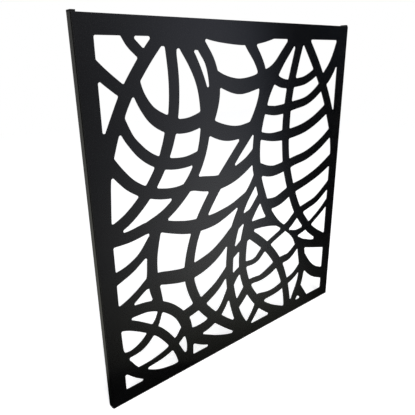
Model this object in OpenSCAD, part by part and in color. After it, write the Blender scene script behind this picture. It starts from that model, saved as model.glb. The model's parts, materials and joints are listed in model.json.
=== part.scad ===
// Laser cut metal screen: a flat steel sheet cut into a web of curved bands,
// welded to two upright tubes whose ends are closed by push-in caps.
// Origin: middle of the footprint, on the surface that the screen stands on.
// The cut face looks along -Y, the tubes stand behind it, +Z is up.

/* [Sheet] */
// Width of the screen, over the outer sides of the tubes
screen_w = 1150; // [1150:1:1400]
// How far the tubes stand out past the sheet's side edges
sheet_inset = 2; // [0:0.5:4]
// Height of the sheet
sheet_h = 1200; // [1200:1:1450]
// Thickness of the sheet
sheet_t = 3; // [1.5:0.5:6]
// Plain border left and right of the cut web
side_border = 52; // [46:1:60]
// Plain border above the web
top_border = 52; // [46:1:60]
// Plain border below the web
bottom_border = 49; // [44:1:60]
// Radius of the sheet's four outer corners
sheet_corner_r = 1.5; // [0.5:0.5:6]

/* [Web] */
// Radius left by the laser in the corners of the openings
cut_r = 5; // [2:0.5:7]
// Width of every band as a share of its drawn width
band_scale = 0.97; // [0.85:0.01:1.1]
// Longest straight step along a curved cut
cut_step = 32; // [10:1:40]

/* [Tubes] */
// Width of a tube, across the screen
tube_w = 15; // [12:1:30]
// Depth of a tube, away from the sheet
tube_d = 25; // [15:1:50]
// Wall of a tube
tube_wall = 1.5; // [1:0.25:2]
// Outer corner radius of a tube
tube_r = 3; // [2.5:0.25:4]

/* [End caps] */
// Thickness of a cap's head
cap_head = 5; // [3:0.5:8]
// Chamfer round the outside of a cap's head
cap_chamfer = 1; // [0.5:0.25:2]
// Length of the plug inside the tube
plug_len = 16; // [10:1:30]
// Wall of the hollow plug
plug_wall = 1.2; // [0.8:0.1:1.6]
// Number of gripping ribs round the plug
plug_ribs = 3; // [2:1:4]

/* [Welds] */
// Length of one weld bead
weld_len = 30; // [15:1:60]
// Leg of a weld bead
weld_leg = 5; // [3:0.5:8]
// Number of beads along each tube
weld_count = 6; // [4:1:10]
// How full a bead is, as a share of its leg
weld_bulge = 0.4; // [0.2:0.1:0.8]

/* [Hidden] */
sheet_w = screen_w - 2 * sheet_inset;
front_y = -(sheet_t + tube_d) / 2;
back_y = front_y + sheet_t;
tube_bottom = cap_head;
tube_top = sheet_h;
tube_len = tube_top - tube_bottom;
tube_x = (screen_w - tube_w) / 2;
tube_y = back_y + tube_d / 2;
bore_w = tube_w - 2 * tube_wall;
bore_d = tube_d - 2 * tube_wall;
bore_r = tube_r - tube_wall;
rib_h = 1.6;
rib_pitch = plug_len / (plug_ribs + 0.5);
plug_gap = 0.5;
web_w = 1150;
web_h = 1200;
bead_facets = 48;
eps = 0.01;
$fn = 16;

// The web. Each band is a list of [x, z, width] that its centre line runs through smoothly,
// in millimetres from the screen's lower left corner, for a screen of web_w by web_h.

// Bands that run down the sheet, from left to right
DOWN_BANDS = [
    // out of the top edge, left, and down along the left border
    [[292, 1185, 38], [242, 1136, 40], [192, 1078, 40], [138, 1003, 40], [99, 930, 40], [70, 862, 44],
        [48, 780, 42], [40, 700, 42], [34, 620, 42]],
    // from the top edge down to the left border below the middle
    [[286, 1170, 52], [290, 1100, 39], [295, 1020, 38], [289, 935, 38], [266, 845, 38],
        [220, 756, 38], [165, 688, 38], [100, 635, 38], [30, 605, 38]],
    // beside it, ending in the left border
    [[316, 1165, 42], [346, 1115, 41], [387, 1040, 37], [408, 970, 40], [411, 880, 40],
        [394, 800, 38], [360, 731, 38], [311, 676, 40], [247, 626, 38], [176, 597, 38]],
    // short one that joins it
    [[362, 1175, 44], [401, 1126, 37], [436, 1072, 40], [451, 1005, 45], [446, 950, 45],
        [418, 880, 46]],
    // the long one through the whole sheet
    [[578, 1175, 46], [608, 1128, 43], [645, 1082, 39], [669, 1030, 40], [672, 965, 40],
        [645, 892, 44], [602, 835, 40], [547, 775, 38], [497, 718, 41], [445, 658, 41],
        [392, 582, 42], [353, 510, 38], [330, 420, 41], [331, 350, 40], [356, 275, 39],
        [393, 218, 39], [446, 160, 40], [510, 104, 41], [590, 45, 46]],
    // from the top edge, right, round to the right border, thin where it meets the lower lattice
    [[843, 1175, 40], [800, 1122, 39], [754, 1070, 42], [694, 985, 48], [676, 935, 42],
        [653, 850, 38], [645, 765, 38], [650, 706, 42], [660, 660, 36], [680, 600, 38],
        [713, 527, 39], [749, 482, 31], [786, 450, 23], [821, 426, 18], [850, 399, 17],
        [876, 372, 18], [900, 344, 36], [940, 324, 38], [985, 310, 41], [1040, 295, 43],
        [1120, 274, 46]],
    // beside it
    [[864, 1185, 62], [858, 1145, 50], [852, 1112, 39], [844, 1085, 38], [821, 1000, 39],
        [807, 920, 39], [802, 845, 41], [804, 765, 38], [817, 680, 40], [849, 585, 40],
        [890, 497, 41], [943, 425, 39], [1007, 362, 38], [1120, 290, 44]],
    // from the top edge into the right border
    [[863, 1185, 42], [901, 1137, 40], [953, 1070, 42], [1000, 1002, 40], [1044, 925, 41],
        [1076, 855, 43], [1101, 790, 42], [1113, 740, 44], [1120, 690, 42]],
    // from the knot in the middle down to the bottom edge
    [[690, 612, 34], [650, 566, 34], [614, 515, 36], [594, 455, 37], [584, 390, 37], [584, 325, 37],
        [602, 255, 38], [632, 195, 36], [678, 132, 36], [744, 77, 41], [836, 27, 47]],
    // from the same knot to the bottom edge, left
    [[672, 716, 36], [648, 672, 34], [624, 637, 31], [583, 582, 34], [550, 516, 40], [529, 458, 41],
        [518, 385, 36], [516, 315, 36], [524, 245, 36], [541, 175, 38], [563, 112, 40], [600, 45, 44]],
    // from the knot to the bottom edge, right
    [[606, 470, 34], [622, 452, 36], [678, 407, 38], [732, 355, 38], [777, 297, 40], [813, 230, 39],
        [838, 160, 38], [853, 95, 40], [861, 30, 46]],
    // left, down through the fan in the lower corner
    [[214, 610, 36], [201, 560, 36], [186, 500, 39], [182, 435, 40], [188, 375, 41], [201, 318, 32],
        [202, 288, 19], [192, 262, 22], [174, 235, 30], [138, 197, 33], [100, 178, 31], [66, 176, 33],
        [30, 174, 38]],
    // arch over the fan, down to the bottom edge
    [[30, 332, 50], [100, 328, 42], [165, 322, 38], [228, 293, 39], [275, 250, 39], [307, 193, 46],
        [322, 115, 29], [320, 70, 32], [318, 35, 35]],
    // lower arch in the fan
    [[30, 301, 38], [84, 285, 37], [144, 249, 34], [194, 211, 34], [236, 158, 34], [263, 110, 32],
        [273, 88, 33], [284, 62, 40], [292, 35, 48]],
    // lower right, two legs and a foot
    [[930, 325, 40], [938, 285, 45], [949, 225, 42], [943, 160, 36], [929, 117, 38], [908, 80, 34],
        [895, 40, 42]],
    [[950, 250, 46], [988, 197, 50], [1045, 150, 53], [1130, 117, 58]],
    [[931, 112, 34], [949, 84, 38], [981, 37, 40]],
];

// Bands that run across the sheet, from the top down
CROSS_BANDS = [
    // between the first two down bands, below the top edge
    [[139, 1170, 34], [159, 1130, 33], [203, 1093, 30]],
    [[245, 1160, 76], [320, 1158, 80], [395, 1153, 80]],
    // top row, right of the middle, bowed like a sail
    [[360, 1180, 40], [440, 1159, 40], [520, 1150, 42], [590, 1147, 42], [665, 1154, 39],
        [740, 1174, 40]],
    // down the left border, under the upper left corner
    [[20, 1100, 36], [60, 1058, 37], [113, 1014, 36], [140, 997, 34]],
    // second row, left half, sagging
    [[162, 1040, 36], [172, 1000, 35], [199, 952, 40], [238, 920, 46], [310, 893, 47], [370, 899, 47],
        [430, 923, 46]],
    // second row, right half
    [[450, 1036, 42], [490, 1016, 44], [560, 998, 53], [640, 1010, 50], [693, 1028, 60],
        [735, 1014, 37], [765, 1001, 35], [797, 996, 32], [830, 997, 32], [900, 1005, 32],
        [952, 1028, 32], [978, 1041, 30]],
    // up into the upper right corner
    [[1005, 990, 44], [1029, 1011, 53], [1060, 1046, 49], [1085, 1092, 45], [1109, 1150, 48]],
    // third row, left half
    [[95, 940, 40], [119, 908, 36], [133, 880, 34], [173, 829, 35], [222, 796, 37], [280, 781, 38],
        [340, 780, 36], [400, 797, 36]],
    // third row, middle
    [[395, 905, 50], [445, 871, 54], [500, 851, 56], [560, 847, 47], [630, 860, 44]],
    // fourth row, from the left border to the middle
    [[45, 850, 40], [82, 793, 39], [131, 738, 38], [186, 707, 36], [245, 691, 36], [290, 689, 34],
        [322, 693, 35], [355, 701, 44], [400, 694, 54], [450, 687, 53], [500, 691, 51],
        [550, 707, 51], [610, 738, 45], [650, 775, 40]],
    // ribs in the right half, rising to the right border
    [[680, 914, 31], [735, 905, 36], [790, 909, 36], [850, 918, 33], [910, 927, 33], [962, 951, 34],
        [1005, 982, 36]],
    [[660, 824, 28], [715, 811, 30], [775, 810, 39], [840, 814, 39], [910, 826, 40], [980, 852, 40],
        [1050, 891, 42]],
    [[640, 715, 40], [690, 690, 44], [740, 680, 43], [800, 688, 41], [860, 701, 37], [930, 712, 38],
        [1000, 738, 38], [1060, 772, 37], [1120, 815, 40]],
    [[690, 560, 40], [750, 550, 44], [800, 563, 47], [852, 585, 42], [920, 599, 38], [1000, 623, 40],
        [1060, 649, 43], [1120, 681, 47]],
    // fifth row, from the left border to the knot in the middle
    [[30, 583, 38], [110, 584, 38], [190, 597, 40], [270, 573, 44], [340, 556, 49], [430, 555, 47],
        [475, 564, 41], [520, 578, 32], [545, 588, 28], [592, 612, 25]],
    // sixth row, from the left border
    [[30, 447, 34], [90, 472, 34], [148, 506, 34], [190, 557, 34]],
    [[30, 335, 38], [84, 358, 33], [121, 381, 28], [150, 400, 29], [180, 411, 40], [210, 409, 47],
        [240, 401, 49], [310, 388, 54], [375, 396, 57], [442, 421, 49], [501, 464, 39],
        [550, 505, 37], [600, 531, 30], [620, 545, 26]],
    // rungs of the lower lattice, beside the knot
    [[610, 483, 36], [650, 484, 37], [700, 482, 40], [748, 472, 36], [768, 463, 30]],
    [[515, 383, 28], [555, 410, 30], [605, 445, 34]],
    // out of the fan, up through the lower lattice to the right border
    [[312, 148, 43], [350, 142, 42], [395, 144, 45], [430, 156, 44], [465, 175, 35], [489, 204, 31],
        [510, 244, 30], [532, 283, 30], [553, 309, 32], [600, 333, 24], [630, 330, 23],
        [662, 336, 27], [690, 361, 29], [735, 388, 25], [795, 412, 25], [820, 426, 33],
        [851, 437, 37], [893, 471, 36], [950, 489, 32], [1010, 503, 32], [1060, 532, 31],
        [1120, 574, 34]],
    // last rib in the right half
    [[856, 394, 27], [880, 386, 27], [915, 384, 28], [970, 398, 24], [1020, 424, 23], [1065, 452, 25],
        [1120, 496, 28]],
    // rungs between the fan and the lower lattice
    [[280, 228, 36], [335, 238, 42], [390, 256, 42], [445, 285, 39], [472, 308, 34], [492, 327, 31],
        [512, 348, 30]],
    [[552, 165, 35], [588, 203, 42], [625, 247, 29], [680, 244, 27], [735, 258, 37], [795, 284, 35],
        [850, 286, 35], [890, 310, 31], [915, 335, 30]],
    // along the bottom edge
    [[592, 28, 32], [648, 91, 31], [674, 130, 40], [690, 149, 50], [720, 150, 34], [750, 149, 31],
        [790, 154, 33], [825, 164, 34], [885, 179, 29], [908, 192, 28], [950, 228, 30]],
    [[332, 121, 36], [358, 105, 40], [392, 86, 43], [440, 64, 38], [500, 42, 35], [550, 30, 36]],
    // arcs in the lower left corner
    [[30, 176, 42], [57, 144, 43], [78, 119, 43], [99, 97, 42], [125, 74, 37], [160, 53, 37],
        [195, 39, 39], [240, 27, 46]],
    [[95, 99, 20], [150, 103, 21], [205, 112, 26], [245, 128, 29], [283, 156, 34], [310, 195, 36]],
];

// Smooth curve through the points: a cubic between b and c, with a and d as its neighbours
function between(a, b, c, d, t) =
    (2 * b + (c - a) * t + (2 * a - 5 * b + 4 * c - d) * t * t + (3 * b - a - 3 * c + d) * t * t * t) / 2;
function steps(a, b) = ceil(norm([b.x - a.x, b.y - a.y]) / cut_step);
function smooth_line(k) = concat([
    for (i = [0 : len(k) - 2])
        let (n = steps(k[i], k[i + 1]))
        for (s = [0 : n - 1])
            between(k[max(i - 1, 0)], k[i], k[i + 1], k[min(i + 2, len(k) - 1)], s / n)
], [k[len(k) - 1]]);

// The unit vector to the left of the line at point i
function left_of(line, i) =
    let (a = line[max(i - 1, 0)], b = line[min(i + 1, len(line) - 1)], v = [a.y - b.y, b.x - a.x])
    v / norm(v);
function side_of(line, side) = [
    for (i = [0 : len(line) - 1])
        [line[i].x, line[i].y] + side * line[i].z * band_scale / 2 * left_of(line, i)
];
function reversed(list) = [for (i = [len(list) - 1 : -1 : 0]) list[i]];

module band(knots) {
    line = smooth_line(knots);
    polygon(concat(side_of(line, 1), reversed(side_of(line, -1))));
}

// The openings that the bands leave in the sheet's window, with the laser's radius in their corners
module openings() {
    offset(r = cut_r)
    offset(delta = -cut_r)
    difference() {
        translate([sheet_inset + side_border, bottom_border])
        square([sheet_w - 2 * side_border, sheet_h - top_border - bottom_border]);
        scale([screen_w / web_w, sheet_h / web_h])
        union() {
            for (knots = DOWN_BANDS) band(knots);
            for (knots = CROSS_BANDS) band(knots);
        }
    }
}

// A rectangle about the origin with round corners
module round_rect(w, d, r) {
    square([w - 2 * r, d], center = true);
    square([w, d - 2 * r], center = true);
    for (x = [-1, 1])
        for (y = [-1, 1])
            translate([x * (w / 2 - r), y * (d / 2 - r)])
            circle(r);
}

module face_sheet() {
    color("#1c1d20")
    translate([-screen_w / 2, back_y, 0])
    rotate([90, 0, 0])
    linear_extrude(sheet_t)
    difference() {
        translate([screen_w / 2, sheet_h / 2])
        round_rect(sheet_w, sheet_h, sheet_corner_r);
        openings();
    }
}

module tube(side) {
    color("#33342f")
    translate([side * tube_x, tube_y, tube_bottom])
    linear_extrude(tube_len)
    difference() {
        round_rect(tube_w, tube_d, tube_r);
        round_rect(bore_w, bore_d, bore_r);
    }
}

// A block with its top edges chamfered, made by crossing three outlines
module chamfered_head() {
    intersection() {
        linear_extrude(cap_head)
        round_rect(tube_w, tube_d, tube_r);
        rotate([90, 0, 0])
        linear_extrude(tube_d, center = true)
        head_outline(tube_w);
        rotate([90, 0, 90])
        linear_extrude(tube_w, center = true)
        head_outline(tube_d);
    }
}

module head_outline(w) {
    polygon([[-w / 2, 0], [w / 2, 0], [w / 2, cap_head - cap_chamfer], [w / 2 - cap_chamfer, cap_head],
        [cap_chamfer - w / 2, cap_head], [-w / 2, cap_head - cap_chamfer]]);
}

// A cap as it stands on the upper end of a tube, with z = 0 at the tube's end
module cap() {
    core_w = bore_w - 2 * plug_gap;
    core_d = bore_d - 2 * plug_gap;
    color("#141414")
    union() {
        chamfered_head();
        translate([0, 0, -plug_len])
        linear_extrude(plug_len + eps)
        difference() {
            square([core_w, core_d], center = true);
            square([core_w - 2 * plug_wall, core_d - 2 * plug_wall], center = true);
        }
        for (i = [1 : plug_ribs])
            translate([0, 0, -i * rib_pitch])
            linear_extrude(rib_h)
            difference() {
                round_rect(bore_w, bore_d, bore_r);
                square([core_w - plug_wall, core_d - plug_wall], center = true);
            }
    }
}

module top_cap(side) {
    translate([side * tube_x, tube_y, tube_top])
    cap();
}

module bottom_cap(side) {
    translate([side * tube_x, tube_y, tube_bottom])
    mirror([0, 0, 1])
    cap();
}

// Fillet welds in the inner corner between a tube and the back of the sheet
module weld_row(side) {
    pitch = (tube_len - weld_len) / weld_count;
    bulge = weld_leg * weld_bulge;
    color("#26272a")
    for (i = [0 : weld_count - 1])
        translate([side * (screen_w / 2 - tube_w), back_y, tube_bottom + (i + 0.5) * pitch])
        linear_extrude(weld_len)
        intersection() {
            translate([side * -weld_leg / 2, weld_leg / 2])
            square(weld_leg, center = true);
            translate([side * bulge, -bulge])
            circle(norm([weld_leg + bulge, bulge]), $fn = bead_facets);
        }
}

module left_tube() tube(-1);
module right_tube() tube(1);
module top_left_cap() top_cap(-1);
module top_right_cap() top_cap(1);
module bottom_left_cap() bottom_cap(-1);
module bottom_right_cap() bottom_cap(1);
module left_welds() weld_row(-1);
module right_welds() weld_row(1);

face_sheet();
left_tube();
right_tube();
top_left_cap();
top_right_cap();
bottom_left_cap();
bottom_right_cap();
left_welds();
right_welds();
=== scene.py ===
"""A laser cut metal screen: a black powder coated steel sheet cut into a web of curved bands, on two
capped upright tubes. The sheet gets the soft edges that the coat leaves, the tubes, caps and beads get their
finishes, and a stage shows the screen on white. Everything is in metres, and the cut face looks along -Y."""

import json
import math

import bmesh
import bpy
from bpy.props import FloatProperty, FloatVectorProperty, IntProperty, PointerProperty, StringProperty
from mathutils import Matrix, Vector

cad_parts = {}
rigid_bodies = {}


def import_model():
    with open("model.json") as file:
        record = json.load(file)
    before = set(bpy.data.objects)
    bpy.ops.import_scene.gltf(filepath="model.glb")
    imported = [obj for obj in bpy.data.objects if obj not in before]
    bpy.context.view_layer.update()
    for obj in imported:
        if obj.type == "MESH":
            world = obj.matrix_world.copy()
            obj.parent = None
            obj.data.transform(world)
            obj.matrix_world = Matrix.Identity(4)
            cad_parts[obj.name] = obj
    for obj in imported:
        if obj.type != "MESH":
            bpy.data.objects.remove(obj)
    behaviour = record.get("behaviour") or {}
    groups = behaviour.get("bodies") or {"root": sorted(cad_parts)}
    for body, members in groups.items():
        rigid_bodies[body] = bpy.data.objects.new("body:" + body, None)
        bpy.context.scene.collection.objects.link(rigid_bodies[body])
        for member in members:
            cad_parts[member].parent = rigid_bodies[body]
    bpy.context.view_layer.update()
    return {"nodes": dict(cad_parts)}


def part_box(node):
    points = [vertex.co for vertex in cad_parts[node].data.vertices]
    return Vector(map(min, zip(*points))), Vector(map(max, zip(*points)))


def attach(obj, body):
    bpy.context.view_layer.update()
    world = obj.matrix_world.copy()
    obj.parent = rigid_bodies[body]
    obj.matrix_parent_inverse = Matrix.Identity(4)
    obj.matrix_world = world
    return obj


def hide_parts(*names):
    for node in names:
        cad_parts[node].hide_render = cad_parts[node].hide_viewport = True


bl_info = {
    "name": "Laser Cut Metal Screen",
    "version": (1, 0, 0),
    "blender": (4, 5, 0),
    "location": "3D View > Sidebar > Metal Screen",
    "description": "Dresses the cut sheet, its edge tubes, end caps and weld beads, and sets the stage",
    "category": "Object",
}

MM = 0.001
# Points of a mesh closer together than this are one
MERGE = 0.002 * MM

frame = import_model()
SHEET_LOW, SHEET_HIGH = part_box("face_sheet")
SHEET_THICKNESS = SHEET_HIGH[1] - SHEET_LOW[1]
TUBE_LOW, TUBE_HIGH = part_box("left_tube")


# Sizes and finishes that a user would change


class CoatSettings(bpy.types.PropertyGroup):
    """The powder coat on the sheet, the tubes and the beads."""

    black: StringProperty(
        name="Coat", description="sRGB colour of the coat, as a hex value", default="#070708"
    )
    dust: StringProperty(
        name="Dust", description="sRGB colour of the coat where fine dust lies on it", default="#0f0f0f"
    )
    roughness: FloatProperty(
        name="Roughness",
        description="Roughness of the satin coat",
        default=0.28,
        min=0.0,
        max=1.0,
        subtype="FACTOR",
    )
    peel_size: FloatProperty(
        name="Orange peel",
        description="Distance from one swelling of the coat to the next",
        default=3.2 * MM,
        min=0.5 * MM,
        unit="LENGTH",
    )
    peel_height: FloatProperty(
        name="Peel height",
        description="Height of the swellings of the coat",
        default=0.012 * MM,
        min=0.0,
        unit="LENGTH",
        precision=6,
    )
    edge_radius: FloatProperty(
        name="Edge radius",
        description="Radius that the coat leaves along the cut edges",
        default=0.5 * MM,
        min=0.1 * MM,
        unit="LENGTH",
        precision=5,
    )
    edge_steps: IntProperty(name="Edge steps", description="Facets round one edge", default=3, min=1, max=6)
    facet: FloatProperty(
        name="Facet",
        description="Length from which a facet of a cut curve is turned into an arc",
        default=5 * MM,
        min=1 * MM,
        unit="LENGTH",
    )
    step: FloatProperty(
        name="Step",
        description="Length up to which a step between two such facets is left out",
        default=2.5 * MM,
        min=0.0,
        unit="LENGTH",
    )


class CapSettings(bpy.types.PropertyGroup):
    """The push-in caps in the tube ends."""

    black: StringProperty(
        name="Plastic", description="sRGB colour of the moulded plastic, as a hex value", default="#0a0a0a"
    )
    scuff: StringProperty(
        name="Scuff",
        description="sRGB colour where the plastic is scuffed, as a hex value",
        default="#1a1a19",
    )
    roughness: FloatProperty(
        name="Roughness",
        description="Roughness of the plastic",
        default=0.55,
        min=0.0,
        max=1.0,
        subtype="FACTOR",
    )
    edge_radius: FloatProperty(
        name="Edge radius",
        description="Radius along the edges of the moulding",
        default=0.4 * MM,
        min=0.1 * MM,
        unit="LENGTH",
        precision=5,
    )


class BeadSettings(bpy.types.PropertyGroup):
    """The weld beads behind the sheet."""

    count: IntProperty(
        name="Beads", description="Number of beads along each tube", default=6, min=1, max=12
    )
    length: FloatProperty(
        name="Length", description="Length of one bead", default=30 * MM, unit="LENGTH"
    )
    half_width: FloatProperty(
        name="Half width",
        description="Half the width of a bead across its face",
        default=3.9 * MM,
        unit="LENGTH",
    )
    fullness: FloatProperty(
        name="Fullness",
        description="Depth of a bead as a share of its width",
        default=0.62,
        min=0.2,
        max=1.0,
    )
    ripple: FloatProperty(
        name="Ripple",
        description="Distance from one ripple of a bead to the next",
        default=2.5 * MM,
        unit="LENGTH",
    )
    valley: FloatProperty(
        name="Valley",
        description="Girth between two ripples, as a share of that on a ripple",
        default=0.78,
        min=0.5,
        max=1.0,
    )
    tip: FloatProperty(
        name="Tip",
        description="Girth at a bead's two ends, as a share of that on a ripple",
        default=0.55,
        min=0.2,
        max=1.0,
    )
    stand_off: FloatProperty(
        name="Stand-off",
        description="Distance of a bead's middle from the two faces it joins, as a share of its half width",
        default=0.32,
        min=0.0,
        max=1.0,
    )


class StageSettings(bpy.types.PropertyGroup):
    """The camera, the room light, the lamp and the floor."""

    camera_place: FloatVectorProperty(
        name="Camera",
        description="Place of the camera",
        default=(-1.0403, -1.0928, 1.0877),
        subtype="XYZ",
    )
    camera_turn: FloatVectorProperty(
        name="Camera turn",
        description="Turn of the camera about X, Y and Z, in degrees",
        default=(70.98, 0.86, -39.45),
    )
    lens: FloatProperty(
        name="Lens", description="Focal length in millimetres", default=37.49, min=10.0, max=200.0
    )
    room: FloatProperty(
        name="Room light", description="Strength of the light from all round", default=0.5, min=0.0
    )
    room_colour: StringProperty(
        name="Room colour",
        description="sRGB colour of the light from all round, as a hex value",
        default="#f6f7f9",
    )
    lamp: FloatProperty(
        name="Lamp", description="Power of the large overhead lamp", default=70.0, unit="POWER"
    )
    lamp_size: FloatProperty(
        name="Lamp size", description="Side of the overhead lamp", default=1.8, min=0.1, unit="LENGTH"
    )
    floor_size: FloatProperty(
        name="Floor", description="Side of the floor", default=12.0, min=2.0, unit="LENGTH"
    )
    floor_colour: StringProperty(
        name="Paper", description="sRGB colour of the paper floor, as a hex value", default="#f6f6f6"
    )
    floor_glow: FloatProperty(
        name="Floor glow",
        description="Light that the floor adds to its white, as the camera and the gloss see it",
        default=0.55,
        min=0.0,
    )


# Colours and shader nodes


def linear(hex_value):
    """The linear colour of an sRGB hex value."""
    parts = [int(hex_value[i : i + 2], 16) / 255 for i in (1, 3, 5)]
    return tuple(c / 12.92 if c <= 0.04045 else ((c + 0.055) / 1.055) ** 2.4 for c in parts) + (1.0,)


def add_node(tree, kind, settings=None, inputs=None, links=None):
    """Adds a node, sets its properties and inputs, and links its inputs to other nodes' outputs."""
    node = tree.nodes.new(kind)
    for name, value in (settings or {}).items():
        setattr(node, name, value)
    for key, value in (inputs or {}).items():
        node.inputs[key].default_value = value
    for key, (source, output) in (links or {}).items():
        tree.links.new(source.outputs[output], node.inputs[key])
    return node


def new_material(name):
    """A material with an empty node tree, and that tree."""
    material = bpy.data.materials.new(name)
    material.use_nodes = True
    material.node_tree.nodes.clear()
    return material, material.node_tree


def powder_coat(name, coat, roughness):
    """Satin polyester powder coat, sprayed dry and baked. It melts into a skin with a fine orange peel,
    which breaks up the gloss, over a grain of half-melted powder that shows as tiny changes of roughness."""
    material, tree = new_material(name)
    place = add_node(tree, "ShaderNodeTexCoord")
    peel = add_node(
        tree,
        "ShaderNodeTexNoise",
        inputs={"Scale": 1 / coat.peel_size, "Detail": 2.0, "Roughness": 0.5},
        links={"Vector": (place, "Object")},
    )
    # Powder grains are about 0.05 mm: drawn at 0.8 mm, so that they show in a close view
    grain = add_node(
        tree,
        "ShaderNodeTexNoise",
        inputs={"Scale": 1 / (0.8 * MM), "Detail": 3.0, "Roughness": 0.6},
        links={"Vector": (place, "Object")},
    )
    # Uneven film thickness and dust, in patches about 120 mm wide
    cloud = add_node(
        tree,
        "ShaderNodeTexNoise",
        inputs={"Scale": 1 / (120 * MM), "Detail": 4.0, "Roughness": 0.55},
        links={"Vector": (place, "Object")},
    )
    patches = add_node(
        tree,
        "ShaderNodeMapRange",
        inputs={"From Min": 0.35, "From Max": 0.75, "To Min": 0.0, "To Max": 0.6},
        links={"Value": (cloud, "Fac")},
    )
    speckle = add_node(
        tree,
        "ShaderNodeMath",
        {"operation": "MULTIPLY"},
        links={0: (patches, "Result"), 1: (grain, "Fac")},
    )
    colour = add_node(
        tree,
        "ShaderNodeMix",
        {"data_type": "RGBA"},
        inputs={"A": linear(coat.black), "B": linear(coat.dust)},
        links={"Factor": (speckle, "Value")},
    )
    gloss = add_node(
        tree,
        "ShaderNodeMapRange",
        inputs={"From Min": 0.3, "From Max": 0.7, "To Min": roughness - 0.05, "To Max": roughness + 0.07},
        links={"Value": (grain, "Fac")},
    )
    skin = add_node(
        tree,
        "ShaderNodeBump",
        inputs={"Strength": 1.0, "Distance": coat.peel_height},
        links={"Height": (peel, "Fac")},
    )
    surface = add_node(
        tree,
        "ShaderNodeBsdfPrincipled",
        inputs={"IOR": 1.55, "Specular IOR Level": 0.5},
        links={
            "Base Color": (colour, "Result"),
            "Roughness": (gloss, "Result"),
            "Normal": (skin, "Normal"),
        },
    )
    add_node(tree, "ShaderNodeOutputMaterial", links={"Surface": (surface, "BSDF")})
    return material


def moulded_plastic(caps):
    """Low density polyethylene, moulded in a spark-eroded tool. Its fine even texture is waxy and matt, and
    it scuffs lighter where it has been knocked in."""
    material, tree = new_material("matte_moulded_polyethylene")
    place = add_node(tree, "ShaderNodeTexCoord")
    # The eroded texture is about 0.1 mm wide: drawn at 0.6 mm, so that it shows in a close view
    texture = add_node(
        tree,
        "ShaderNodeTexNoise",
        inputs={"Scale": 1 / (0.6 * MM), "Detail": 2.0},
        links={"Vector": (place, "Object")},
    )
    scuffs = add_node(
        tree,
        "ShaderNodeTexNoise",
        inputs={"Scale": 1 / (6 * MM), "Detail": 5.0, "Roughness": 0.7, "Distortion": 0.6},
        links={"Vector": (place, "Object")},
    )
    worn = add_node(
        tree,
        "ShaderNodeMapRange",
        inputs={"From Min": 0.52, "From Max": 0.75, "To Min": 0.0, "To Max": 0.8},
        links={"Value": (scuffs, "Fac")},
    )
    colour = add_node(
        tree,
        "ShaderNodeMix",
        {"data_type": "RGBA"},
        inputs={"A": linear(caps.black), "B": linear(caps.scuff)},
        links={"Factor": (worn, "Result")},
    )
    gloss = add_node(
        tree,
        "ShaderNodeMapRange",
        inputs={"To Min": caps.roughness - 0.06, "To Max": caps.roughness + 0.1},
        links={"Value": (texture, "Fac")},
    )
    skin = add_node(
        tree,
        "ShaderNodeBump",
        inputs={"Strength": 0.6, "Distance": 0.02 * MM},
        links={"Height": (texture, "Fac")},
    )
    surface = add_node(
        tree,
        "ShaderNodeBsdfPrincipled",
        inputs={"IOR": 1.51, "Specular IOR Level": 0.2},
        links={
            "Base Color": (colour, "Result"),
            "Roughness": (gloss, "Result"),
            "Normal": (skin, "Normal"),
        },
    )
    add_node(tree, "ShaderNodeOutputMaterial", links={"Surface": (surface, "BSDF")})
    return material


# Working on one object at a time


def only(piece):
    """Makes piece the one selected and active object."""
    bpy.ops.object.select_all(action="DESELECT")
    piece.select_set(True)
    bpy.context.view_layer.objects.active = piece


def dress(piece, material):
    """Gives a piece one material all over."""
    piece.data.materials.clear()
    piece.data.materials.append(material)


def free_copy(node_name, name):
    """A copy of a CAD node with its own mesh and normals, its doubles merged and its flat faces whole."""
    source = frame["nodes"][node_name]
    only(source)
    bpy.ops.object.duplicate(linked=False)
    piece = bpy.context.view_layer.objects.active
    piece.name = name
    bpy.ops.object.parent_clear(type="CLEAR_KEEP_TRANSFORM")
    for key in list(piece.keys()):
        if key.startswith("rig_"):
            del piece[key]
    bpy.ops.mesh.customdata_custom_splitnormals_clear()
    bpy.ops.object.mode_set(mode="EDIT")
    bpy.ops.mesh.select_all(action="SELECT")
    bpy.ops.mesh.remove_doubles(threshold=MERGE)
    bpy.ops.mesh.dissolve_limited(angle_limit=math.radians(0.1))
    bpy.ops.object.mode_set(mode="OBJECT")
    return piece


def select_where(piece, chosen):
    """In edit mode, selects the faces that chosen(face) picks, and nothing else."""
    bpy.ops.mesh.select_mode(type="FACE")
    bpy.ops.mesh.select_all(action="DESELECT")
    shape = bmesh.from_edit_mesh(piece.data)
    for face in shape.faces:
        face.select = chosen(face)
    bmesh.update_edit_mesh(piece.data)


# The sheet while its edges are sharp: a wall is a flat facet of a cut, and a post is an edge between two
# walls, which runs through the sheet from front to back


def is_post(edge):
    """Whether an edge runs through the sheet."""
    return abs(edge.verts[0].co.y - edge.verts[1].co.y) > SHEET_THICKNESS / 2


def is_wall(face):
    """Whether a face is a wall, and not the sheet's front or back."""
    return abs(face.normal.y) < 0.5


def posts(wall):
    """The two posts of a wall."""
    return [edge for edge in wall.edges if is_post(edge)]


def wall_length(wall):
    """The length of a wall along its opening."""
    return wall.calc_perimeter() / 2 - SHEET_THICKNESS


def select_posts(piece, chosen):
    """In edit mode, selects the posts that chosen(post) picks, and nothing else. Tells if there are any."""
    bpy.ops.mesh.select_mode(type="EDGE")
    bpy.ops.mesh.select_all(action="DESELECT")
    shape = bmesh.from_edit_mesh(piece.data)
    picked = [edge for edge in shape.edges if is_post(edge) and chosen(edge)]
    for post in picked:
        post.select = True
    bmesh.update_edit_mesh(piece.data)
    return bool(picked)


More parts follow.
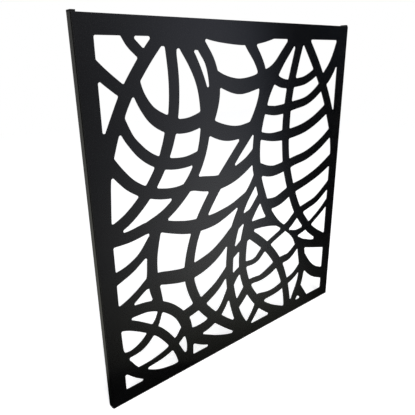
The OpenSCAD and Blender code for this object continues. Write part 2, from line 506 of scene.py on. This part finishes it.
def select_corner(piece, x, z, reach):
    """In edit mode, selects the posts within reach of a place on the sheet. None there is an error."""

    def near(post):
        return all(math.hypot(vert.co.x - x, vert.co.z - z) < reach for vert in post.verts)

    if not select_posts(piece, near):
        raise RuntimeError(f"no corner of {piece.name} near {x:.4f}, {z:.4f}")


class SCREEN_OT_face_sheet(bpy.types.Operator):
    """Make the cut sheet with the soft edges of its coat"""

    bl_idname = "screen.face_sheet"
    bl_label = "Face Sheet"
    bl_options = {"REGISTER", "UNDO"}

    # Where the photo shows an opening's edge a little otherwise than the cut sheet, or the cut left a small
    # kink. All is in mm. A gathered row has the x, z and reach of some points, and the x and z of the one
    # point that they become.
    GATHERED = (
        (136.4, 1051.6, 4.0, 130.0, 1058.4),
        (116.6, 1057.1, 1.0, 120.0, 1054.2),
        (147.1, 1062.9, 1.0, 146.0, 1067.9),
        (-396.0, 566.0, 2.5, -402.5, 560.5),
        (103.8, 169.4, 2.6, 106.0, 175.2),
        (277.0, 382.3, 1.5, 281.8, 384.3),
        (44.9, 555.0, 1.0, 45.8, 557.0),
        (40.2, 554.4, 2.6, 38.0, 552.3),
        (-509.5, 192.0, 1.0, -505.0, 189.6),
        (-521.0, 197.0, 1.0, -519.0, 203.0),
        (88.9, 761.5, 4.2, 88.7, 762.0),
        (126.7, 598.5, 2.6, 126.5, 598.0),
        (123.0, 605.3, 1.6, 123.3, 605.3),
    )
    # A shifted row has the x, z and reach of some points, and how far they move along x and z
    SHIFTED = (
        (107.5, 1056.0, 4.5, 1.0, -3.6),
        (-372.6, 918.5, 1.0, -1.5, -2.0),
        (-348.1, 900.6, 1.0, -2.5, -3.8),
        (-324.0, 888.6, 1.0, -5.0, -3.8),
        (-318.0, 883.4, 4.2, -5.0, -3.8),
        (-326.3, 851.4, 1.0, -2.5, 0.5),
        (-335.4, 829.9, 1.0, -1.9, 0.3),
        (-440.9, 916.8, 1.0, -2.2, -1.1),
        (-427.7, 888.2, 1.0, -2.2, -1.1),
        (-417.5, 873.8, 1.0, -2.2, -1.2),
        (-451.2, 934.2, 3.0, 1.4, 0.0),
        (-399.0, 576.6, 2.4, -6.5, -0.3),
        (-391.5, 571.5, 6.6, -6.5, -0.5),
        (-516.8, 478.8, 5.2, 0.3, 5.8),
        (-492.1, 486.9, 1.0, -0.9, 1.3),
        (99.2, 168.0, 4.6, -3.5, 8.0),
        (84.8, 183.6, 1.0, 1.8, 0.4),
        (13.5, 547.0, 6.0, 1.0, 2.2),
        (-518.2, 193.3, 3.2, 6.5, -1.5),
        (-493.0, 191.2, 1.0, 0.5, -2.5),
        (-471.2, 163.4, 1.0, -0.9, 2.9),
        (-493.7, 160.5, 2.7, -1.5, 4.5),
        (-498.4, 157.2, 2.1, -0.8, 2.0),
        (-481.7, 133.1, 1.0, -2.0, -2.0),
        (-459.3, 110.8, 2.9, -8.0, 1.3),
        (-436.3, 479.1, 1.0, -1.7, 2.3),
        (-414.3, 492.8, 3.3, -0.9, 2.9),
        (-410.1, 490.8, 1.2, 0.2, 1.5),
        (-413.1, 423.8, 3.3, -3.8, 3.0),
        (-412.4, 434.3, 1.0, -1.8, 0.5),
        (-430.8, 412.8, 1.0, -0.9, 1.3),
        (-259.5, 1117.0, 7.2, -0.8, -2.9),
        (-266.1, 1101.2, 1.0, -1.7, 0.0),
        (-246.1, 1104.9, 1.0, -1.7, -0.8),
        (-194.5, 1111.0, 9.0, 0.2, -3.0),
        (-176.0, 1098.3, 1.0, -1.6, -0.7),
        (302.2, 349.1, 1.0, 6.3, 3.6),
        (312.9, 331.0, 2.6, 3.8, 0.0),
        (294.2, 366.3, 1.0, 3.1, 2.3),
        (282.8, 379.3, 1.5, 2.5, 2.0),
        (276.1, 386.2, 1.2, 3.0, 1.6),
        (331.2, 365.5, 5.3, 6.5, 0.0),
        (335.7, 357.8, 1.0, 4.0, 2.5),
        (352.0, 349.6, 1.0, 1.2, 2.8),
        (440.0, 325.3, 4.0, 3.5, -3.5),
        (442.6, 330.7, 2.1, 3.0, -1.3),
        (415.4, 329.1, 1.0, 0.0, -4.0),
        (353.2, 75.2, 6.2, 1.0, -10.0),
        (11.8, 622.9, 0.5, 0.0, -1.1),
        (13.6, 621.8, 0.9, 0.0, 0.7),
        (15.5, 621.6, 0.9, 0.0, 1.8),
        (17.4, 622.1, 0.9, 0.0, 2.4),
        (18.9, 623.4, 0.9, 0.0, 2.3),
        (-498.4, 160.9, 0.6, -1.0, 0.6),
    )

    # The corners between two facets of one curve turn by angles between these, and an opening's own by more
    LEAST_TURN = math.radians(0.5)
    MOST_TURN = math.radians(35)
    # Percentage of a facet that the arc at each of its ends takes, under half so that two arcs never meet
    ARC_SHARE = 48
    ARC_SEGMENTS = 4
    # Distance from the plane of the front or back up to which a point lies on it
    ON_PLANE = 0.01 * MM
    # Share of its normal along Y from which a face is part of the flat front or back
    FLAT = 0.9999

    def execute(self, context):
        coat = context.scene.screen_coat
        piece = free_copy("face_sheet", "cut_face_sheet")
        bpy.ops.object.mode_set(mode="EDIT")
        self.mend_corners(piece)
        self.drop_steps(piece, coat)
        self.round_facets(piece, coat)
        for side in (-1, 1):
            self.soften(piece, side, coat)
        select_where(piece, lambda face: True)
        bpy.ops.mesh.faces_shade_smooth()
        select_where(piece, lambda face: abs(face.normal.y) > self.FLAT)
        bpy.ops.mesh.faces_shade_flat()
        bpy.ops.object.mode_set(mode="OBJECT")
        name = "satin_black_powder_coat_on_steel_sheet"
        dress(piece, powder_coat(name, coat, coat.roughness))
        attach(piece, "root")
        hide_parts("face_sheet")
        return {"FINISHED"}

    def mend_corners(self, piece):
        """Gathers and shifts points along the openings, through the whole sheet, while it is still sharp."""
        for x, z, reach, new_x, new_z in self.GATHERED:
            select_corner(piece, x * MM, z * MM, reach * MM)
            bpy.ops.transform.resize(value=(0, 1, 0), center_override=(new_x * MM, 0, new_z * MM))
            bpy.ops.mesh.remove_doubles(threshold=MERGE)
        for x, z, reach, shift_x, shift_z in self.SHIFTED:
            select_corner(piece, x * MM, z * MM, reach * MM)
            bpy.ops.transform.translate(value=(shift_x * MM, 0, shift_z * MM))

    @staticmethod
    def drop_steps(piece, coat):
        """Takes out each short step between two long facets, with the first of its posts that can go."""
        bpy.ops.mesh.select_mode(type="EDGE")
        bpy.ops.mesh.select_all(action="DESELECT")
        shape = bmesh.from_edit_mesh(piece.data)
        for wall in filter(is_wall, shape.faces):
            beside = [face for post in posts(wall) for face in post.link_faces if face != wall]
            if wall_length(wall) < coat.step and all(wall_length(face) > coat.facet for face in beside):
                # A post can go when no other edge of the sheet's front or back ends on it
                free = [post for post in posts(wall) if all(len(v.link_edges) == 3 for v in post.verts)]
                for post in free[:1]:
                    post.select = True
        bmesh.update_edit_mesh(piece.data)
        bpy.ops.mesh.dissolve_edges(use_verts=True)

    def round_facets(self, piece, coat):
        """Turns the long facets of the cut curves into arcs, from the middle of one facet to the next."""

        def between_facets(post):
            one, other = post.link_faces
            turn = one.normal.angle(other.normal)
            both_long = min(wall_length(one), wall_length(other)) > coat.facet
            return both_long and self.LEAST_TURN < turn < self.MOST_TURN

        select_posts(piece, between_facets)
        bpy.ops.mesh.bevel(
            offset_type="PERCENT",
            offset_pct=self.ARC_SHARE,
            segments=self.ARC_SEGMENTS,
            affect="EDGES",
            clamp_overlap=True,
        )
        bpy.ops.mesh.select_all(action="SELECT")
        bpy.ops.mesh.dissolve_limited(angle_limit=math.radians(0.05))

    def soften(self, piece, side, coat):
        """Rounds the edges of the front, side -1, or the back, side 1, in steps of a quarter circle."""
        plane = SHEET_LOW[1] if side < 0 else SHEET_HIGH[1]
        select_where(piece, lambda face: all(abs(v.co.y - plane) < self.ON_PLANE for v in face.verts))
        bpy.ops.transform.translate(value=(0, -side * coat.edge_radius, 0))
        quarter = math.pi / 2
        for step in range(coat.edge_steps):
            start = quarter * step / coat.edge_steps
            end = quarter * (step + 1) / coat.edge_steps
            bpy.ops.mesh.inset(
                thickness=coat.edge_radius * (math.cos(start) - math.cos(end)),
                depth=0.0,
                use_boundary=True,
                use_even_offset=True,
            )
            rise = coat.edge_radius * (math.sin(end) - math.sin(start))
            bpy.ops.transform.translate(value=(0, side * rise, 0))


class SCREEN_OT_tubes(bpy.types.Operator):
    """Give the edge tubes their coat"""

    bl_idname = "screen.tubes"
    bl_label = "Edge Tubes"
    bl_options = {"REGISTER", "UNDO"}

    def execute(self, context):
        coat = context.scene.screen_coat
        # The tubes' drawn skin is rougher under the coat than the sheet's rolled one
        roughness = coat.roughness + 0.08
        material = powder_coat("satin_black_powder_coat_on_tube", coat, roughness)
        for name in ("left_tube", "right_tube"):
            dress(frame["nodes"][name], material)
        return {"FINISHED"}


class SCREEN_OT_end_caps(bpy.types.Operator):
    """Give the end caps their moulded edges and plastic"""

    bl_idname = "screen.end_caps"
    bl_label = "End Caps"
    bl_options = {"REGISTER", "UNDO"}

    def execute(self, context):
        caps = context.scene.screen_caps
        material = moulded_plastic(caps)
        for name in ("top_left_cap", "top_right_cap", "bottom_left_cap", "bottom_right_cap"):
            cap = frame["nodes"][name]
            dress(cap, material)
            cap.modifiers.new("merge_doubles", "WELD").merge_threshold = MERGE
            whole = cap.modifiers.new("whole_faces", "DECIMATE")
            whole.decimate_type = "DISSOLVE"
            whole.angle_limit = math.radians(1)
            edges = cap.modifiers.new("moulded_edges", "BEVEL")
            edges.width = caps.edge_radius
            edges.segments = 2
            edges.limit_method = "ANGLE"
            edges.angle_limit = math.radians(40)
        return {"FINISHED"}


class SCREEN_OT_weld_beads(bpy.types.Operator):
    """Make the rippled weld beads between the tubes and the sheet"""

    bl_idname = "screen.weld_beads"
    bl_label = "Weld Beads"
    bl_options = {"REGISTER", "UNDO"}

    def execute(self, context):
        beads, coat = context.scene.screen_beads, context.scene.screen_coat
        # The coat lies a little rougher over weld metal
        roughness = coat.roughness + 0.05
        material = powder_coat("satin_black_powder_coat_on_weld_bead", coat, roughness)
        bead = self.bead(beads)
        for side, name in ((-1, "left_welds"), (1, "right_welds")):
            row = self.row(bead, side, name, beads)
            dress(row, material)
            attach(row, "root")
            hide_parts(name)
        bpy.data.objects.remove(bead)
        return {"FINISHED"}

    @staticmethod
    def bead(beads):
        """One upright bead with its foot at the origin: a rod that swells and shrinks with the ripples."""
        ripples = round(beads.length / beads.ripple)
        bpy.ops.object.select_all(action="DESELECT")
        bpy.ops.mesh.primitive_cylinder_add(
            vertices=12, radius=beads.half_width, depth=beads.length, location=(0, 0, beads.length / 2)
        )
        piece = bpy.context.view_layer.objects.active
        bpy.ops.object.transform_apply(location=True, rotation=True, scale=True)
        bpy.ops.object.mode_set(mode="EDIT")
        bpy.ops.mesh.select_mode(type="EDGE")
        bpy.ops.mesh.select_all(action="DESELECT")
        shape = bmesh.from_edit_mesh(piece.data)
        for edge in shape.edges:
            low, high = sorted(v.co.z for v in edge.verts)
            edge.select = high - low > beads.length / 2
        bmesh.update_edit_mesh(piece.data)
        bpy.ops.mesh.subdivide(number_cuts=2 * ripples - 1)
        step = beads.length / (2 * ripples)
        for ring in range(2 * ripples + 1):
            height = ring * step
            if ring in (0, 2 * ripples):
                girth = beads.tip
            else:
                girth = 1.0 if ring % 2 else beads.valley
            bpy.ops.mesh.select_mode(type="VERT")
            bpy.ops.mesh.select_all(action="DESELECT")
            shape = bmesh.from_edit_mesh(piece.data)
            for vert in shape.verts:
                vert.select = abs(vert.co.z - height) < step / 4
            shape.select_flush_mode()
            bmesh.update_edit_mesh(piece.data)
            bpy.ops.transform.resize(value=(girth, girth, 1), center_override=(0, 0, height))
        bpy.ops.object.mode_set(mode="OBJECT")
        smooth = piece.modifiers.new("smooth", "SUBSURF")
        smooth.levels = smooth.render_levels = 1
        bpy.ops.object.modifier_apply(modifier="smooth")
        bpy.ops.object.shade_smooth()
        return piece

    @staticmethod
    def row(bead, side, name, beads):
        """Copies of the bead up one tube, flattened and set in the corner, joined into one piece."""
        pitch = (TUBE_HIGH[2] - TUBE_LOW[2] - beads.length) / beads.count
        stand_off = beads.half_width * beads.stand_off
        corner_x = side * abs(TUBE_HIGH[0])
        copies = []
        for i in range(beads.count):
            only(bead)
            bpy.ops.object.duplicate(linked=False)
            copy = bpy.context.view_layer.objects.active
            copy.scale = (1, beads.fullness, 1)
            copy.rotation_euler = (0, 0, side * math.pi / 4)
            middle_x = corner_x - side * stand_off
            foot = TUBE_LOW[2] + (i + 0.5) * pitch
            bpy.ops.transform.translate(value=(middle_x, SHEET_HIGH[1] + stand_off, foot))
            copies.append(copy)
        only(copies[0])
        for copy in copies:
            copy.select_set(True)
        bpy.ops.object.join()
        bpy.ops.object.transform_apply(location=True, rotation=True, scale=True)
        copies[0].name = name + "_rippled"
        return copies[0]


# The stage


def white_where_seen(tree, lit, white, output):
    """Shows white to the camera and in gloss and glass, and the lit shader to every other ray."""
    path = add_node(tree, "ShaderNodeLightPath")
    camera_or_gloss = add_node(
        tree,
        "ShaderNodeMath",
        {"operation": "MAXIMUM"},
        links={0: (path, "Is Camera Ray"), 1: (path, "Is Glossy Ray")},
    )
    seen = add_node(
        tree,
        "ShaderNodeMath",
        {"operation": "MAXIMUM"},
        links={0: (camera_or_gloss, "Value"), 1: (path, "Is Transmission Ray")},
    )
    mix = add_node(tree, "ShaderNodeMixShader", links={0: (seen, "Value"), 1: lit, 2: white})
    add_node(tree, output, links={"Surface": (mix, "Shader")})


def graded(tree, along, stops):
    """A colour ramp over a node's output, through stops of a position and an sRGB shade."""
    node = add_node(tree, "ShaderNodeValToRGB", links={"Fac": along})
    ramp = node.color_ramp
    ramp.elements.remove(ramp.elements[1])
    ramp.elements[0].position = stops[0][0]
    ramp.elements[0].color = linear(stops[0][1])
    for position, shade in stops[1:]:
        ramp.elements.new(position).color = linear(shade)
    return node


class SCREEN_OT_stage(bpy.types.Operator):
    """Set up the white floor, the room light, the lamp, the cards that the coat mirrors, and the camera"""

    bl_idname = "screen.stage"
    bl_label = "Stage"
    bl_options = {"REGISTER", "UNDO"}

    LAMP_PLACE = (-0.6, -2.2, 2.9)
    LAMP_TARGET = (0.0, 0.0, 0.6)
    # A card's paint is the product of some gradients. A gradient has the shares of the card's width and of
    # its height that it runs along, and its stops, each a position and an sRGB shade. A flag is all black.
    FLAG = ((1.0, 0.0, ((0.0, "#000000"),)),)
    # Graded cards and black flags, as in a studio, that only the gloss of the coat shows. Those that lie on
    # the floor carry painted shade: they darken the floor that the gloss shows at the screen's foot. Each
    # row has a name, the middle, the width and height, the turn about X and about Z in degrees, and the
    # gradients.
    CARDS = (
        (
            "front_card",
            (1.0, -0.45, 1.4),
            (4.0, 2.8),
            (90, 0),
            (
                (1.0, 0.0, ((0.13, "#6c6c6a"), (0.19, "#a4a4a4"), (0.25, "#e0e0e0"), (0.30, "#ffffff"))),
                (0.0, 1.0, ((0.0, "#d8dad6"), (0.05, "#eeefee"), (0.12, "#f7f8ff"), (0.17, "#f8faff"),
                            (0.23, "#e4e7f2"), (0.30, "#cfd2de"), (0.46, "#c6cadc"), (0.65, "#6c7280"))),
                (1.0, 0.08, ((0.36, "#ffffff"), (0.405, "#c4cad2"), (0.44, "#444c56"), (0.46, "#000408"))),
            ),
        ),
        (
            "floor_card",
            (1.0, -0.232, 0.002),
            (4.0, 0.436),
            (0, 0),
            (
                (1.0, 0.0, ((0.12, "#787876"), (0.16, "#9a9a98"), (0.26, "#dedede"), (0.33, "#ffffff"))),
                # Painted shade: the floor that the gloss shows gets darker towards the screen's foot
                (0.0, 1.0, ((0.0, "#c8c8c2"), (0.18, "#bebeb8"), (0.41, "#b8b8b0"), (0.59, "#a2a39a"),
                            (0.72, "#8c8d84"), (0.83, "#787970"), (1.0, "#64655c"))),
                (1.0, 0.0625, ((0.33, "#ffffff"), (0.40, "#d8d8d8"), (0.445, "#808080"), (0.48, "#484848"),
                               (0.60, "#282828"))),
                # Painted shadow: a black wedge on the floor at the foot of the screen's left part
                (1.0, -0.186, ((0.012, "#000000"), (0.016, "#ffffff"))),
            ),
        ),
        ("sky_card", (1.6, -0.44, 1.4), (1.4, 0.9), (90, 0), ((1.0, 0.0, ((0.0, "#1e2a38"),)),)),
        # Painted shadow: a black sheet on the floor close to the foot of the screen's left end, seen only in
        # the gloss
        ("foot_shade_flag", (-0.8, -0.132, 0.004), (0.4, 0.236), (0, 0), FLAG),
        ("left_flag", (-1.6, -0.9, 1.0), (2.6, 2.0), (90, 90), FLAG),
        ("left_floor_flag", (-1.1, -1.13, 0.003), (1.0, 2.3), (0, 0), FLAG),
        ("camera_flag", (-1.0, -2.3, 1.0), (1.2, 2.0), (90, 0), FLAG),
        (
            "side_card",
            (-1.05, 0.45, 0.95),
            (0.9, 1.9),
            (90, 0),
            ((0.0, 1.0, ((0.1, "#bcbcb2"), (0.3, "#b8b8b0"), (0.6, "#a0a09c"))),),
        ),
        (
            "side_floor_card",
            (-1.04, 0.287, 0.002),
            (0.93, 0.326),
            (0, 0),
            # Painted shade: the floor beside the left tube, as the gloss shows it, gets darker towards the
            # screen's foot
            ((0.0, 1.0, ((0.0, "#70706a"), (0.15, "#9c9c94"), (0.4, "#b0b0a8"), (1.0, "#bcbcb2"))),),
        ),
        # Painted shadow: a black sheet on the floor close beside and behind the left tube's foot, seen only
        # in the gloss
        ("side_foot_shade_flag", (-1.04, 0.037, 0.004), (0.93, 0.174), (0, 0), FLAG),
    )

    def execute(self, context):
        stage = context.scene.screen_stage
        self.room(context, stage)
        self.floor(stage)
        self.lamp(stage)
        for card in self.CARDS:
            self.card(*card)
        self.camera(context, stage)
        context.scene.view_settings.view_transform = "Standard"
        return {"FINISHED"}

    @staticmethod
    def room(context, stage):
        """Even light from all round, which the camera, gloss and glass see as white."""
        world = bpy.data.worlds.new("white_room")
        world.use_nodes = True
        tree = world.node_tree
        tree.nodes.clear()
        lit = add_node(
            tree,
            "ShaderNodeBackground",
            inputs={"Color": linear(stage.room_colour), "Strength": stage.room},
        )
        white = add_node(tree, "ShaderNodeBackground", inputs={"Color": (1, 1, 1, 1), "Strength": 1.0})
        white_where_seen(tree, (lit, "Background"), (white, "Background"), "ShaderNodeOutputWorld")
        context.scene.world = world

    @staticmethod
    def floor(stage):
        """Matt paper that keeps the screen's shadow, and glows a little where camera or gloss sees it."""
        bpy.ops.object.select_all(action="DESELECT")
        bpy.ops.mesh.primitive_plane_add(size=stage.floor_size)
        floor = bpy.context.view_layer.objects.active
        floor.name = "white_floor"
        material, tree = new_material("matt_white_paper_floor")
        paper = add_node(tree, "ShaderNodeBsdfDiffuse", inputs={"Color": linear(stage.floor_colour)})
        glow = add_node(
            tree, "ShaderNodeEmission", inputs={"Color": (1, 1, 1, 1), "Strength": stage.floor_glow}
        )
        bright = add_node(tree, "ShaderNodeAddShader", links={0: (paper, "BSDF"), 1: (glow, "Emission")})
        white_where_seen(tree, (paper, "BSDF"), (bright, "Shader"), "ShaderNodeOutputMaterial")
        dress(floor, material)

    @staticmethod
    def card(name, middle, size, turn, gradients):
        """A card that shines by itself, and that nothing but gloss sees."""
        bpy.ops.object.select_all(action="DESELECT")
        bpy.ops.mesh.primitive_plane_add(
            size=1, location=middle, rotation=(math.radians(turn[0]), 0, math.radians(turn[1]))
        )
        card = bpy.context.view_layer.objects.active
        card.name = name
        card.scale = (size[0], size[1], 1)
        material, tree = new_material(name + "_painted")
        place = add_node(tree, "ShaderNodeTexCoord")
        shade = None
        for width_share, height_share, stops in gradients:
            along = add_node(
                tree,
                "ShaderNodeVectorMath",
                {"operation": "DOT_PRODUCT"},
                inputs={1: (width_share, height_share, 0)},
                links={0: (place, "Generated")},
            )
            gradient = graded(tree, (along, "Value"), stops), "Color"
            if shade:
                product = add_node(
                    tree,
                    "ShaderNodeMix",
                    {"data_type": "RGBA", "blend_type": "MULTIPLY"},
                    inputs={"Factor": 1.0},
                    links={"A": shade, "B": gradient},
                )
                gradient = product, "Result"
            shade = gradient
        paint = add_node(tree, "ShaderNodeEmission", links={"Color": shade})
        add_node(tree, "ShaderNodeOutputMaterial", links={"Surface": (paint, "Emission")})
        dress(card, material)
        for ray in ("camera", "diffuse", "transmission", "volume_scatter", "shadow"):
            setattr(card, "visible_" + ray, False)

    def lamp(self, stage):
        """The large lamp over the camera, turned to the screen."""
        place = Vector(self.LAMP_PLACE)
        target = Vector(self.LAMP_TARGET)
        bpy.ops.object.select_all(action="DESELECT")
        bpy.ops.object.light_add(type="AREA", location=place)
        lamp = bpy.context.view_layer.objects.active
        lamp.name = "overhead_lamp"
        lamp.data.size = stage.lamp_size
        lamp.data.energy = stage.lamp
        lamp.visible_camera = False
        lamp.rotation_euler = (target - place).to_track_quat("-Z", "Y").to_euler()

    @staticmethod
    def camera(context, stage):
        """The camera where the photo was taken from."""
        bpy.ops.object.select_all(action="DESELECT")
        turn = [math.radians(angle) for angle in stage.camera_turn]
        bpy.ops.object.camera_add(location=stage.camera_place, rotation=turn)
        camera = bpy.context.view_layer.objects.active
        camera.name = "camera"
        camera.data.lens = stage.lens
        camera.data.sensor_width = 36.0
        camera.data.dof.use_dof = False
        context.scene.camera = camera


# The panel, and running the whole


class SCREEN_PT_panel(bpy.types.Panel):
    """Lists the steps that dress the screen"""

    bl_idname = "SCREEN_PT_panel"
    bl_label = "Metal Screen"
    bl_space_type = "VIEW_3D"
    bl_region_type = "UI"
    bl_category = "Metal Screen"

    def draw(self, context):
        scene = context.scene
        for group, operators in (
            (scene.screen_coat, (SCREEN_OT_face_sheet, SCREEN_OT_tubes)),
            (scene.screen_caps, (SCREEN_OT_end_caps,)),
            (scene.screen_beads, (SCREEN_OT_weld_beads,)),
            (scene.screen_stage, (SCREEN_OT_stage,)),
        ):
            box = self.layout.box()
            for name in group.bl_rna.properties.keys():
                if name not in ("rna_type", "name"):
                    box.prop(group, name)
            for operator in operators:
                box.operator(operator.bl_idname)


CLASSES = (
    CoatSettings,
    CapSettings,
    BeadSettings,
    StageSettings,
    SCREEN_OT_face_sheet,
    SCREEN_OT_tubes,
    SCREEN_OT_end_caps,
    SCREEN_OT_weld_beads,
    SCREEN_OT_stage,
    SCREEN_PT_panel,
)
SETTINGS = {
    "screen_coat": CoatSettings,
    "screen_caps": CapSettings,
    "screen_beads": BeadSettings,
    "screen_stage": StageSettings,
}


def register():
    for cls in CLASSES:
        bpy.utils.register_class(cls)
    for name, group in SETTINGS.items():
        setattr(bpy.types.Scene, name, PointerProperty(type=group))


def unregister():
    for name in SETTINGS:
        delattr(bpy.types.Scene, name)
    for cls in reversed(CLASSES):
        bpy.utils.unregister_class(cls)


def main():
    register()
    bpy.ops.screen.stage()
    bpy.ops.screen.face_sheet()
    bpy.ops.screen.tubes()
    bpy.ops.screen.end_caps()
    bpy.ops.screen.weld_beads()


if __name__ == "__main__":
    main()
